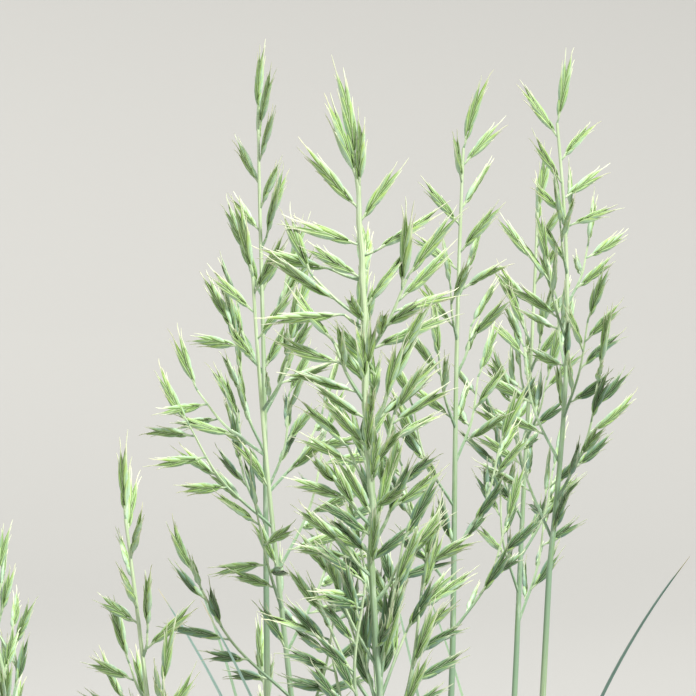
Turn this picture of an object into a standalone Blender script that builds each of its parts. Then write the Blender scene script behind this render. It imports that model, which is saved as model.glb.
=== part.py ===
"""A potted blue fescue: a dome of needle leaves with tall flower stalks, in a plain clay pot.

Metres, +Z up. The origin is the middle of the pot's base, on the floor, and -Y is the front.
"""

import math

import bmesh
import bpy
from mathutils import Vector

COLLECTION = "potted_blue_fescue"
CUTTERS = "cutters"

# clay pot
POT_HEIGHT = 0.140
POT_BASE_RADIUS = 0.054
POT_WALL_TOP_RADIUS = 0.0745
POT_WALL = 0.007
POT_FLOOR = 0.009
RIM_RADIUS = 0.080
RIM_HEIGHT = 0.028
RIM_ROUND = 0.0025
DRAIN_RADIUS = 0.011
POT_STEPS = 40

# what fills it
GAP = 0.0003
SOIL_TOP = 0.124
SOIL_STEPS = 32

# dome of needle leaves, from its crown in the soil to the tips that spread over the rim
CROWN_RADIUS = 0.038
TUFT_TOP = 0.283
TUFT_RADIUS = 0.128
TUFT_UNDERSIDE = POT_HEIGHT + 0.004
TUFT_STEPS = 36

# flower stalks
CULM_POINTS = 10
CULM_FOOT_RADIUS = 0.0009
CULM_TOP_RADIUS = 0.0006
CULM_CHANNEL = 0.0006
CROWN_SPREAD = 0.36
PANICLE_STEPS = 12
LEAF_POINTS = 8
LEAF_FOOT_RADIUS = 0.0007
LEAF_TIP_RADIUS = 0.00025

# each stalk: foot of its flower head, tip of its flower head, widest radius of the head
STALKS = [
    ((0.0036, -0.0300, 0.3260), (-0.0014, -0.0300, 0.4245), 0.0145),
    ((-0.0062, -0.0015, 0.3220), (-0.0150, 0.0000, 0.4070), 0.0118),
    ((-0.0215, -0.0195, 0.2990), (-0.0262, -0.0215, 0.3740), 0.0112),
    ((0.0150, 0.0120, 0.3400), (0.0182, 0.0160, 0.4260), 0.0130),
    ((0.0305, 0.0360, 0.3520), (0.0345, 0.0420, 0.4375), 0.0120),
    ((0.0270, 0.0620, 0.3380), (0.0305, 0.0700, 0.4190), 0.0115),
    ((-0.0125, 0.0400, 0.3500), (-0.0130, 0.0460, 0.4330), 0.0120),
    ((-0.0560, 0.0040, 0.3080), (-0.0730, 0.0060, 0.3880), 0.0120),
    ((-0.0460, 0.0420, 0.3050), (-0.0640, 0.0560, 0.3800), 0.0115),
    ((0.0590, -0.0060, 0.3150), (0.0760, -0.0080, 0.3950), 0.0120),
    ((0.0540, 0.0360, 0.3000), (0.0740, 0.0500, 0.3730), 0.0110),
    ((-0.0520, -0.0370, 0.2960), (-0.0760, -0.0540, 0.3660), 0.0110),
    ((0.0500, -0.0420, 0.2930), (0.0730, -0.0600, 0.3610), 0.0110),
    ((0.0080, -0.0740, 0.2690), (0.0110, -0.0990, 0.3270), 0.0100),
    ((-0.0100, 0.0740, 0.2760), (-0.0160, 0.1000, 0.3400), 0.0100),
]

# stalk number, foot of its leaf, end of its leaf
STALK_LEAVES = [
    (1, (0.0010, -0.0295, 0.2960), (-0.0186, -0.0400, 0.3535)),
    (2, (-0.0045, 0.0000, 0.3000), (-0.0280, 0.0240, 0.3500)),
    (4, (0.0150, 0.0135, 0.3020), (0.0050, 0.0330, 0.3560)),
    (5, (0.0290, 0.0330, 0.3060), (0.0500, 0.0200, 0.3550)),
    (6, (0.0245, 0.0600, 0.3000), (0.0120, 0.0800, 0.3480)),
    (7, (-0.0110, 0.0420, 0.3020), (-0.0250, 0.0660, 0.3500)),
    (8, (-0.0500, 0.0060, 0.2820), (-0.0820, 0.0240, 0.3180)),
    (10, (0.0510, -0.0070, 0.2860), (0.0860, -0.0230, 0.3200)),
]


def new_collection(name):
    collection = bpy.data.collections.new(name)
    bpy.context.scene.collection.children.link(collection)
    return collection


def material(name, colour, roughness):
    made = bpy.data.materials.new(name)
    made.use_nodes = True
    shader = made.node_tree.nodes["Principled BSDF"]
    shader.inputs["Base Color"].default_value = (*colour, 1.0)
    shader.inputs["Roughness"].default_value = roughness
    shader.inputs["Metallic"].default_value = 0.0
    return made


def add_object(name, data, look, collection):
    made = bpy.data.objects.new(name, data)
    if look:
        data.materials.append(look)
    collection.objects.link(made)
    return made


def rounded(corners):
    """The outline's points, with each corner of a given radius made of a short arc."""
    points = []
    count = len(corners)
    for i, (r, z, radius) in enumerate(corners):
        here = Vector((r, z))
        if not radius:
            points.append(here)
            continue
        before = Vector(corners[i - 1][:2]) - here
        after = Vector(corners[(i + 1) % count][:2]) - here
        half = before.angle(after) / 2
        reach = radius / math.tan(half)
        start = here + before.normalized() * reach
        end = here + after.normalized() * reach
        centre = here + (before.normalized() + after.normalized()).normalized() * radius / math.sin(half)
        middle = centre + (here - centre).normalized() * radius
        points += [start, middle, end]
    return points


def turned(name, outline, steps, look, collection, closed=False):
    """A solid of revolution about Z, from an outline that runs down its outer side."""
    mesh = bpy.data.meshes.new(name)
    edges = [(i, i + 1) for i in range(len(outline) - 1)]
    if closed:
        edges.append((len(outline) - 1, 0))
    mesh.from_pydata([(r, 0.0, z) for r, z in outline], edges, [])
    made = add_object(name, mesh, look, collection)
    screw = made.modifiers.new("turn", "SCREW")
    screw.steps = steps
    screw.render_steps = steps
    screw.use_merge_vertices = True
    screw.merge_threshold = 0.00005
    screw.use_smooth_shade = True
    return made


def baked_mesh(source, name):
    """The evaluated shape of an object as a plain mesh in world coordinates."""
    bpy.context.view_layer.update()
    evaluated = source.evaluated_get(bpy.context.evaluated_depsgraph_get())
    mesh = bpy.data.meshes.new_from_object(evaluated)
    mesh.name = name
    mesh.transform(source.matrix_world)
    shape = bmesh.new()
    shape.from_mesh(mesh)
    bmesh.ops.remove_doubles(shape, verts=shape.verts, dist=0.00001)
    shape.to_mesh(mesh)
    shape.free()
    return mesh


def tube(name, points, radii, depth, look, collection):
    """A closed tube of six sides along the points, as a plain mesh."""
    curve = bpy.data.curves.new(name + "_path", "CURVE")
    curve.dimensions = "3D"
    curve.bevel_depth = depth
    curve.bevel_resolution = 1
    curve.use_fill_caps = True
    spline = curve.splines.new("POLY")
    spline.points.add(len(points) - 1)
    for point, place, radius in zip(spline.points, points, radii):
        point.co = (*place, 1.0)
        point.radius = radius / depth
    path = bpy.data.objects.new(name + "_path", curve)
    collection.objects.link(path)
    mesh = baked_mesh(path, name)
    mesh.materials.clear()
    bpy.data.objects.remove(path)
    mesh.shade_smooth()
    mesh.set_sharp_from_angle(angle=math.radians(60))
    return add_object(name, mesh, look, collection)


def make_pot(look, collection):
    wall_slope = (POT_WALL_TOP_RADIUS - POT_BASE_RADIUS) / (POT_HEIGHT - RIM_HEIGHT)
    inner_floor = POT_BASE_RADIUS + wall_slope * POT_FLOOR - POT_WALL
    inner_top = POT_BASE_RADIUS + wall_slope * POT_HEIGHT - POT_WALL
    outline = rounded([
        (RIM_RADIUS, POT_HEIGHT, RIM_ROUND),
        (RIM_RADIUS - 0.0015, POT_HEIGHT - RIM_HEIGHT, RIM_ROUND),
        (POT_WALL_TOP_RADIUS, POT_HEIGHT - RIM_HEIGHT, 0),
        (POT_BASE_RADIUS, 0.0, RIM_ROUND),
        (DRAIN_RADIUS, 0.0, 0),
        (DRAIN_RADIUS, POT_FLOOR, 0),
        (inner_floor, POT_FLOOR, 0),
        (inner_top, POT_HEIGHT, RIM_ROUND),
    ])
    pot = turned("pot", outline, POT_STEPS, look, collection, closed=True)
    return pot, inner_floor, inner_top


def make_soil(inner_floor, inner_top, look, collection):
    slope = (inner_top - inner_floor) / (POT_HEIGHT - POT_FLOOR)
    side_gap = 2 * GAP
    top_radius = inner_floor + slope * (SOIL_TOP - POT_FLOOR) - side_gap
    outline = [
        (0.0, SOIL_TOP),
        (CROWN_RADIUS + 0.006, SOIL_TOP),
        (top_radius, SOIL_TOP - 0.002),
        (inner_floor - side_gap, POT_FLOOR + GAP),
        (0.0, POT_FLOOR + GAP),
    ]
    return turned("potting_soil", outline, SOIL_STEPS, look, collection)


def culm_path(foot, tip):
    """Points from the crown to just under the flower head, leaving the soil nearly upright."""
    head = Vector(foot)
    along = (Vector(tip) - head).normalized()
    end = head - along * GAP
    start = Vector((foot[0] * CROWN_SPREAD, foot[1] * CROWN_SPREAD, SOIL_TOP + GAP))
    rise = end.z - start.z
    lean = Vector((foot[0] * 0.25, foot[1] * 0.25, rise))
    points = []
    for i in range(CULM_POINTS):
        t = i / (CULM_POINTS - 1)
        points.append(
            start * (1 + 2 * t) * (1 - t) ** 2
            + lean * t * (1 - t) ** 2
            + end * t * t * (3 - 2 * t)
            - along * rise * t * t * (1 - t)
        )
    return points


def culm_radii(count):
    shrink = (CULM_TOP_RADIUS - CULM_FOOT_RADIUS) / (count - 1)
    return [CULM_FOOT_RADIUS + shrink * i for i in range(count)]


def make_panicle(name, foot, tip, radius, look, collection):
    """The closed outer shape of a flower head: a spindle that reaches its spikelets' tips."""
    axis = Vector(tip) - Vector(foot)
    shape = [(1.0, 0.0), (0.975, 0.14), (0.90, 0.52), (0.80, 0.80), (0.64, 1.0), (0.36, 1.0),
             (0.20, 0.88), (0.10, 0.55), (0.035, 0.20), (0.0, 0.09), (0.0, 0.0)]
    outline = [(width * radius, along * axis.length) for along, width in shape]
    panicle = turned(name, outline, PANICLE_STEPS, look, collection)
    panicle.location = foot
    panicle.rotation_euler = axis.to_track_quat("Z", "Y").to_euler()
    return panicle


def leaf_path(foot, tip):
    """A blade that leaves its stalk steeply and bends outward as it rises."""
    start = Vector(foot)
    end = Vector(tip)
    rise = end.z - start.z
    points = []
    for i in range(LEAF_POINTS):
        t = i / (LEAF_POINTS - 1)
        across = start.lerp(end, 0.55 * t + 0.45 * t * t)
        across.z = start.z + rise * (1.12 * t - 0.12 * t * t)
        points.append(across)
    return points


def make_tuft(culms, look, collection, cutters):
    """The dome that the leaves fill, with a way through it for each flower stalk."""
    outline = [
        (0.0, TUFT_TOP),
        (0.026, TUFT_TOP - 0.002),
        (0.054, TUFT_TOP - 0.012),
        (0.082, TUFT_TOP - 0.033),
        (0.106, TUFT_TOP - 0.064),
        (0.122, TUFT_TOP - 0.100),
        (TUFT_RADIUS, TUFT_TOP - 0.124),
        (TUFT_RADIUS - 0.003, TUFT_UNDERSIDE + 0.005),
        (TUFT_RADIUS - 0.012, TUFT_UNDERSIDE),
        (RIM_RADIUS - 0.018, TUFT_UNDERSIDE),
        (CROWN_RADIUS + 0.006, SOIL_TOP + 0.008),
        (CROWN_RADIUS, SOIL_TOP + GAP),
        (0.0, SOIL_TOP + GAP),
    ]
    tuft = turned("leaf_tuft", outline, TUFT_STEPS, look, collection)
    joined = bmesh.new()
    for i, points in enumerate(culms, start=1):
        below = points[0] - Vector((0.0, 0.0, 0.004))
        radii = [radius + CULM_CHANNEL for radius in culm_radii(len(points))]
        name = f"channel_{i:02d}"
        cutter = tube(name, [below] + points, [radii[0]] + radii, CULM_FOOT_RADIUS, None, cutters)
        joined.from_mesh(cutter.data)
        bpy.data.objects.remove(cutter)
    mesh = bpy.data.meshes.new("stalk_channels")
    joined.to_mesh(mesh)
    joined.free()
    channels = add_object("stalk_channels", mesh, None, cutters)
    channels.hide_render = True
    channels.display_type = "WIRE"
    cut = tuft.modifiers.new("stalk channels", "BOOLEAN")
    cut.operation = "DIFFERENCE"
    cut.solver = "EXACT"
    cut.object = channels
    return tuft


def main():
    for old in list(bpy.data.objects):
        bpy.data.objects.remove(old)
    collection = new_collection(COLLECTION)
    cutters = new_collection(CUTTERS)
    clay = material("terracotta", (0.52, 0.20, 0.10), 0.85)
    soil = material("potting_soil", (0.035, 0.022, 0.014), 0.95)
    leaf = material("fescue_leaf", (0.20, 0.34, 0.28), 0.55)
    stalk = material("fescue_culm", (0.42, 0.50, 0.33), 0.5)
    flower = material("fescue_spikelet", (0.47, 0.66, 0.38), 0.6)

    inner_floor, inner_top = make_pot(clay, collection)[1:]
    make_soil(inner_floor, inner_top, soil, collection)
    culms = []
    for i, (foot, tip, radius) in enumerate(STALKS, start=1):
        points = culm_path(foot, tip)
        culms.append(points)
        tube(f"culm_{i:02d}", points, culm_radii(len(points)), CULM_FOOT_RADIUS, stalk, collection)
        make_panicle(f"panicle_{i:02d}", foot, tip, radius, flower, collection)
    for number, foot, tip in STALK_LEAVES:
        shrink = (LEAF_TIP_RADIUS - LEAF_FOOT_RADIUS) / (LEAF_POINTS - 1)
        radii = [LEAF_FOOT_RADIUS + shrink * k for k in range(LEAF_POINTS)]
        points = leaf_path(foot, tip)
        tube(f"culm_leaf_{number:02d}", points, radii, LEAF_FOOT_RADIUS, leaf, collection)
    make_tuft(culms, leaf, collection, cutters)


main()
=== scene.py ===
import math

import bpy
import numpy as np
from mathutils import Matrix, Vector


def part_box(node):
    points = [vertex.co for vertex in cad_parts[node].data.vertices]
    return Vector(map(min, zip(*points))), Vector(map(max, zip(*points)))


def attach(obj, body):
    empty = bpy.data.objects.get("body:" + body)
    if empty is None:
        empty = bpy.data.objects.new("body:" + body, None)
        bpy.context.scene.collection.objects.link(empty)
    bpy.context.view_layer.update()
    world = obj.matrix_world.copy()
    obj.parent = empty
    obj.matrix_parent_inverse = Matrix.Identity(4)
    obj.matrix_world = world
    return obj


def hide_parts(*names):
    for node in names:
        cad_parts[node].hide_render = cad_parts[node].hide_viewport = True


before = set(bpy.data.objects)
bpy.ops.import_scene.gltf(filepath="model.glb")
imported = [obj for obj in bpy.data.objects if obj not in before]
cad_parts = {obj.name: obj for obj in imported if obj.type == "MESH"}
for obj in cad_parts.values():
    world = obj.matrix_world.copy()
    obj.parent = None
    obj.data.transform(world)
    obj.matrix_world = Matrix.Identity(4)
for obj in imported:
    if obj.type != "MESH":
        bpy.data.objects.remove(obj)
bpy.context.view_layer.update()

MM = 0.001

# ---------------------------------------------------------------------------
# Studio: a pale floor that curves up far behind the plant on every side, broad soft lights,
# and a camera close to the front flower head, level with the middle of it.
# ---------------------------------------------------------------------------

VIEW_HEIGHT = 90.5 * MM
VIEW_DISTANCE = 400 * MM
SENSOR = 36.0
front_head = [np.array(corner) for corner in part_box("panicle_01")]
view_middle = (0.0, front_head[1][1] - 14.5 * MM, front_head[1][2] - 39.0 * MM)

camera_data = bpy.data.cameras.new("camera")
camera_data.sensor_width = SENSOR
camera_data.lens = SENSOR * VIEW_DISTANCE / VIEW_HEIGHT
camera_data.clip_start = 0.02
camera_data.clip_end = 60.0
camera = bpy.data.objects.new("camera", camera_data)
camera.location = (view_middle[0], view_middle[1] - VIEW_DISTANCE, view_middle[2])
camera.rotation_euler = (math.radians(90), 0.0, 0.0)
bpy.context.scene.collection.objects.link(camera)
bpy.context.scene.camera = camera

FLOOR_RADII = [0.001, 1.0, 4.0, 5.0, 6.0, 6.8, 7.2, 7.4]
FLOOR_HEIGHTS = [0.0, 0.0, 0.0, 0.08, 0.42, 1.25, 2.4, 4.0]
FLOOR_SIDES = 96
turn = np.linspace(0, 2 * math.pi, FLOOR_SIDES, endpoint=False)
floor_points = [
    (radius * math.cos(a), radius * math.sin(a), height)
    for radius, height in zip(FLOOR_RADII, FLOOR_HEIGHTS)
    for a in turn
]
floor_faces = [
    (k * FLOOR_SIDES + i, k * FLOOR_SIDES + (i + 1) % FLOOR_SIDES,
     (k + 1) * FLOOR_SIDES + (i + 1) % FLOOR_SIDES, (k + 1) * FLOOR_SIDES + i)
    for k in range(len(FLOOR_RADII) - 1)
    for i in range(FLOOR_SIDES)
]
floor_faces.append(tuple(range(FLOOR_SIDES)))
floor_mesh = bpy.data.meshes.new("floor")
floor_mesh.from_pydata(floor_points, [], [face[::-1] for face in floor_faces])
floor_mesh.shade_smooth()
floor_look = bpy.data.materials.new("floor")
floor_look.use_nodes = True
floor_look.node_tree.nodes["Principled BSDF"].inputs["Base Color"].default_value = (0.32, 0.315, 0.31, 1)
floor_look.node_tree.nodes["Principled BSDF"].inputs["Roughness"].default_value = 0.9
floor_mesh.materials.append(floor_look)
floor = bpy.data.objects.new("floor", floor_mesh)
bpy.context.scene.collection.objects.link(floor)

world = bpy.data.worlds.new("studio")
world.use_nodes = True
world.node_tree.nodes["Background"].inputs["Color"].default_value = (0.97, 1.0, 0.98, 1)
world.node_tree.nodes["Background"].inputs["Strength"].default_value = 0.8
bpy.context.scene.world = world
bpy.context.scene.view_settings.view_transform = "Standard"


def soft_sun(name, toward, spread, strength, colour):
    """A wide, even light from the side of the place given, as a large lamp far away gives."""
    data = bpy.data.lights.new(name, "SUN")
    data.angle = math.radians(spread)
    data.energy = strength
    data.color = colour
    lamp = bpy.data.objects.new(name, data)
    lamp.location = toward
    flat = math.hypot(toward[0], toward[1])
    lamp.rotation_euler = (math.atan2(flat, toward[2]), 0.0, math.atan2(toward[1], toward[0]) + math.pi / 2)
    bpy.context.scene.collection.objects.link(lamp)


soft_sun("key", (0.55, -0.60, 1.05), 12, 5.2, (1.0, 0.99, 0.94))
soft_sun("back", (-0.45, 0.80, 0.80), 20, 1.7, (1.0, 0.99, 0.95))

# ---------------------------------------------------------------------------
# Clay pot: a plain tapered pot with a thick rolled rim and one drain hole, thrown and fired in
# orange clay. Outside it shows faint turning rings and the pale bloom of salts from watering.
# ---------------------------------------------------------------------------


class Wire:
    """A value or colour that varies over a surface; arithmetic on values adds Math nodes."""

    def __init__(self, tree, socket=None):
        self.tree = tree
        self.socket = socket

    def node(self, kind, settings=None, values=None, out=0):
        """Any node: its settings first, then its sockets' values or links."""
        made = self.tree.nodes.new(kind)
        for name, setting in (settings or {}).items():
            if name == "stops":
                while len(made.color_ramp.elements) < len(setting):
                    made.color_ramp.elements.new(0.5)
                for stop, (place, colour) in zip(made.color_ramp.elements, setting):
                    stop.position = place
                    stop.color = (*colour, 1.0)
            else:
                setattr(made, name, setting)
        for name, value in (values or {}).items():
            if isinstance(value, Wire):
                self.tree.links.new(value.socket, made.inputs[name])
            else:
                made.inputs[name].default_value = value
        return Wire(self.tree, made.outputs[out])

    def maths(self, operation, *values):
        return self.node("ShaderNodeMath", {"operation": operation}, dict(enumerate(values)))

    def __add__(self, other):
        return self.maths("ADD", self, other)

    __radd__ = __add__

    def __sub__(self, other):
        return self.maths("SUBTRACT", self, other)

    def __rsub__(self, other):
        return self.maths("SUBTRACT", other, self)

    def __mul__(self, other):
        return self.maths("MULTIPLY", self, other)

    __rmul__ = __mul__

    def __truediv__(self, other):
        return self.maths("DIVIDE", self, other)

    def __pow__(self, other):
        return self.maths("POWER", self, other)

    def __abs__(self):
        return self.maths("ABSOLUTE", self)

    def floor(self):
        return self.maths("FLOOR", self)

    def part(self):
        return self.maths("FRACT", self)

    def over(self, low, high):
        """0 below low and 1 above high, with a smooth step between."""
        return self.node(
            "ShaderNodeMapRange", {"interpolation_type": "SMOOTHSTEP"},
            {"Value": self, "From Min": low, "From Max": high},
        )

    def noise(self, place, scale, detail=3.0, roughness=0.5, out=0):
        return self.node(
            "ShaderNodeTexNoise", {},
            {"Vector": place, "Scale": scale, "Detail": detail, "Roughness": roughness}, out,
        )

    def axis(self, which):
        """One part of a place: 0, 1 or 2."""
        return self.node("ShaderNodeSeparateXYZ", {}, {0: self}, which)

    def stretched(self, across, along):
        """A place on the flat map, scaled along its two sides."""
        scale = (across, along, 1.0)
        return self.node("ShaderNodeVectorMath", {"operation": "MULTIPLY"}, {0: self, 1: scale})

    def lot(self):
        """A number from 0 to 1, drawn by lot for each value."""
        return self.node("ShaderNodeTexWhiteNoise", {"noise_dimensions": "1D"}, {"W": self})

    def blend(self, below, above):
        """The colour below where this value is 0 and the colour above where it is 1."""
        return self.node("ShaderNodeMix", {"data_type": "RGBA"}, {0: self, 6: below, 7: above}, 2)


def colour(red, green, blue):
    """A colour given as a screen shows it, from 0 to 255, in linear light."""
    shown = np.array([red, green, blue]) / 255
    linear = np.where(shown <= 0.04045, shown / 12.92, ((shown + 0.055) / 1.055) ** 2.4)
    return (*map(float, linear), 1.0)


def new_look(name, roughness=0.5):
    """A new material, its shader node and a wire to start its maths from."""
    look = bpy.data.materials.new(name)
    look.use_nodes = True
    shader = look.node_tree.nodes["Principled BSDF"]
    shader.inputs["Roughness"].default_value = roughness
    return look, shader, Wire(look.node_tree)


def feed(shader, name, wire):
    wire.tree.links.new(wire.socket, shader.inputs[name])


def feed_relief(shader, height, strength, depth):
    """Relief from a wire for its height: how strongly it shows and how deep it is."""
    bump = height.node("ShaderNodeBump", {}, {"Strength": strength, "Distance": depth, "Height": height})
    feed(shader, "Normal", bump)


def new_piece(name, shape, looks, sharp=None):
    """A mesh object from a shape, smooth, with its materials and its flat map."""
    points, loops, sizes, flats, marks = shape
    mesh = bpy.data.meshes.new(name)
    mesh.vertices.add(len(points))
    mesh.vertices.foreach_set("co", points.astype(np.float32).ravel())
    mesh.loops.add(len(loops))
    mesh.loops.foreach_set("vertex_index", loops.astype(np.int32))
    mesh.polygons.add(len(sizes))
    starts = np.concatenate([[0], np.cumsum(sizes)[:-1]])
    mesh.polygons.foreach_set("loop_start", starts.astype(np.int32))
    for look in looks:
        mesh.materials.append(look)
    mesh.update(calc_edges=True)
    mesh.polygons.foreach_set("material_index", marks.astype(np.int32))
    layer = mesh.uv_layers.new(name="OFBake")
    layer.uv.foreach_set("vector", flats.astype(np.float32).ravel())
    mesh.shade_smooth()
    if sharp:
        mesh.set_sharp_from_angle(angle=math.radians(sharp))
    mesh.validate()
    piece = bpy.data.objects.new(name, mesh)
    bpy.context.scene.collection.objects.link(piece)
    return piece


def grid_shape(points, across, along, patch=(0.0, 0.0, 1.0, 1.0), look=0, columns=None):
    """Quads over closed rows of points: across in each row, along rows, laid on a patch of the flat map."""
    left, low, right, high = patch
    edges = np.linspace(0, 1, across + 1) if columns is None else columns
    row, column = np.meshgrid(np.arange(along - 1), np.arange(across), indexing="ij")
    row, column = row.ravel(), column.ravel()
    after = (column + 1) % across
    loops = np.stack([row * across + column, row * across + after,
                      (row + 1) * across + after, (row + 1) * across + column], axis=1)
    u = left + (right - left) * edges[np.stack([column, column + 1, column + 1, column], axis=1)]
    v = low + (high - low) * np.stack([row, row, row + 1, row + 1], axis=1) / (along - 1)
    flats = np.stack([u, v], axis=2).reshape(-1, 2)
    return points, loops.ravel(), np.full(len(loops), 4), flats, np.full(len(loops), look)


POT_SIDES = 144
POT_WALL = 7.0 * MM
POT_FLOOR = 9.0 * MM
DRAIN_RADIUS = 11.0 * MM
RIM_HEIGHT = 28.0 * MM
pot_high = np.array(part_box("pot")[1])
pot_height = pot_high[2]
rim_radius = pot_high[0]
base_radius = 54.0 * MM
wall_top_radius = 74.5 * MM
slope = (wall_top_radius - base_radius) / (pot_height - RIM_HEIGHT)


def arc(r, z, radius, start, stop, steps=5):
    """Points of a quarter-round edge about (r, z)."""
    for a in np.radians(np.linspace(start, stop, steps)):
        yield r + radius * math.cos(a), z + radius * math.sin(a)


inner_floor = base_radius + slope * POT_FLOOR - POT_WALL
inner_top = base_radius + slope * pot_height - POT_WALL
rim_foot = pot_height - RIM_HEIGHT
pot_outline = [
    *arc(rim_radius - 3 * MM, pot_height - 3 * MM, 3 * MM, 90, 0),
    *((rim_radius - 1.5 * MM * t, pot_height - 3 * MM - (RIM_HEIGHT - 6 * MM) * t)
      for t in (0.2, 0.4, 0.6, 0.8, 1.0)),
    *arc(rim_radius - 4.2 * MM, rim_foot + 2.7 * MM, 2.7 * MM, 0, -90),
    (wall_top_radius + 1.0 * MM, rim_foot),
    (wall_top_radius - 0.2 * MM, rim_foot - 1.0 * MM),
    *((wall_top_radius + (base_radius - wall_top_radius) * t, rim_foot * (1 - t))
      for t in np.linspace(0.03, 0.95, 24)),
    *arc(base_radius - 2.6 * MM, 2.6 * MM, 2.6 * MM, 0, -90),
    (base_radius - 12 * MM, 0.0),
    *arc(DRAIN_RADIUS + 1.0 * MM, 1.0 * MM, 1.0 * MM, 270, 180),
    *arc(DRAIN_RADIUS + 1.0 * MM, POT_FLOOR - 1.0 * MM, 1.0 * MM, 180, 90),
    (inner_floor - 3 * MM, POT_FLOOR),
    (inner_floor, POT_FLOOR + 3 * MM),
    *((inner_floor + (inner_top - inner_floor) * t, POT_FLOOR + (pot_height - POT_FLOOR) * t)
      for t in np.linspace(0.1, 0.96, 12)),
    (inner_top + 1.5 * MM, pot_height - 0.4 * MM),
]
pot_outline = np.array(pot_outline)
rows = len(pot_outline)
turn = np.linspace(0, 2 * math.pi, POT_SIDES, endpoint=False)
wobble = 1 + 0.0012 * np.sin(2 * turn + 0.7) + 0.0007 * np.sin(5 * turn)
pot_points = np.stack([
    pot_outline[:, :1] * np.cos(turn) * wobble,
    pot_outline[:, :1] * np.sin(turn) * wobble,
    np.repeat(pot_outline[:, 1:], POT_SIDES, axis=1),
], axis=2)
pot_points = pot_points[::-1].reshape(-1, 3)
# the last row of faces joins the outline's end to its start
_, pot_loops, *pot_rest = grid_shape(pot_points, POT_SIDES, rows + 1)
pot_shape = (pot_points, pot_loops % (rows * POT_SIDES), *pot_rest)

terracotta, shader, start = new_look("terracotta", 0.85)
place = start.node("ShaderNodeTexCoord", out=3)
height = place.axis(2)
mottle = start.noise(place, 38.0, 5.0, 0.62)
cloud = start.noise(place, 11.0, 4.0, 0.6)
grain = start.noise(place, 900.0, 3.0, 0.6)
rings = start.node("ShaderNodeTexWave", {"wave_type": "BANDS", "bands_direction": "Z"},
                   {"Vector": place, "Scale": 95.0, "Distortion": 2.5, "Detail": 2.0, "Detail Scale": 1.5})
salt_height = start.noise(place, 17.0, 5.0, 0.7)
salt = (salt_height + (0.055 - height) * 5.0).over(0.52, 0.95) * 0.55
rim_salt = (cloud + (height - 0.118) * 9.0).over(0.72, 1.05) * 0.35
stain = cloud.over(0.5, 0.78) * 0.45
body = mottle.blend(colour(158, 84, 50), colour(203, 122, 80))
body = stain.blend(body, colour(128, 70, 46))
body = salt.blend(body, colour(214, 190, 168))
body = rim_salt.blend(body, colour(208, 170, 140))
body = (grain.over(0.62, 0.75) * 0.35).blend(body, colour(110, 56, 34))
feed(shader, "Base Color", body)
feed(shader, "Roughness", 0.78 + 0.14 * grain)
relief = grain * 0.25 + mottle * 0.5 + rings * 0.45
feed_relief(shader, relief, 0.35, 0.0006)

pot = new_piece("clay_pot", pot_shape, [terracotta], sharp=50)
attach(pot, "root")
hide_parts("pot")

# ---------------------------------------------------------------------------
# Potting soil: dark, crumbly mix of peat and fine bark, settled a little below the rim, with
# loose crumbs, bark chips and a few white perlite grains lying on it.
# ---------------------------------------------------------------------------

SOIL_SIDES = 120
SOIL_RINGS = 34
SOIL_BELOW = 1.0 * MM
SOIL_SAG = 1.6 * MM
BIG_LUMPS = (34 * MM, 0.22 * MM)
MIDDLE_LUMPS = (11 * MM, 0.16 * MM)
SMALL_LUMPS = (4 * MM, 0.11 * MM)
CRUMBS = 2200
soil_low, soil_high = (np.array(corner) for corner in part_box("potting_soil"))
soil_top = soil_high[2]
soil_radius = soil_high[0] - 0.2 * MM
soil_foot_radius = inner_floor - 0.8 * MM


def lumps(x, y, seed, sizes):
    """A smooth uneven height over the plane, from a few crossing waves of each size."""
    chance = np.random.default_rng(seed)
    total = np.zeros_like(x)
    for wave, tall in sizes:
        for _ in range(5):
            a, shift = chance.uniform(0, 2 * math.pi, 2)
            total += tall * np.sin((x * math.cos(a) + y * math.sin(a)) * 2 * math.pi / wave + shift)
    return total


class Pile:
    """Shapes gathered into one mesh: corner points, faces, places on the flat map, looks."""

    def __init__(self):
        self.points = []
        self.loops = []
        self.sizes = []
        self.flats = []
        self.looks = []
        self.count = 0

    def add(self, shape, turn_by=None, shift=None, look=None):
        points, loops, sizes, flats, looks = shape
        if turn_by is not None:
            points = points @ turn_by.T
        if shift is not None:
            points = points + shift
        self.points.append(points)
        self.loops.append(loops + self.count)
        self.sizes.append(sizes)
        self.flats.append(flats)
        self.looks.append(looks if look is None else np.full(len(sizes), look))
        self.count += len(points)

    def shape(self):
        return (np.concatenate(self.points), np.concatenate(self.loops), np.concatenate(self.sizes),
                np.concatenate(self.flats), np.concatenate(self.looks))


ring_radii = np.concatenate([np.linspace(0.0005, soil_radius, SOIL_RINGS), [soil_radius, soil_foot_radius]])
turn = np.linspace(0, 2 * math.pi, SOIL_SIDES, endpoint=False)
x = ring_radii[:, None] * np.cos(turn)
y = ring_radii[:, None] * np.sin(turn)
bumpy = lumps(x, y, 5, [BIG_LUMPS, MIDDLE_LUMPS, SMALL_LUMPS])
z = soil_top - SOIL_BELOW + bumpy - SOIL_SAG * (ring_radii[:, None] / soil_radius) ** 4
z[-2] = z[-3] - 4 * MM
z[-1] = soil_low[2]
soil_points = np.stack([x, y, z], axis=2).reshape(-1, 3)
soil = Pile()
soil.add(grid_shape(soil_points, SOIL_SIDES, SOIL_RINGS + 2, (0.0, 0.0, 1.0, 0.8)))


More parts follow.
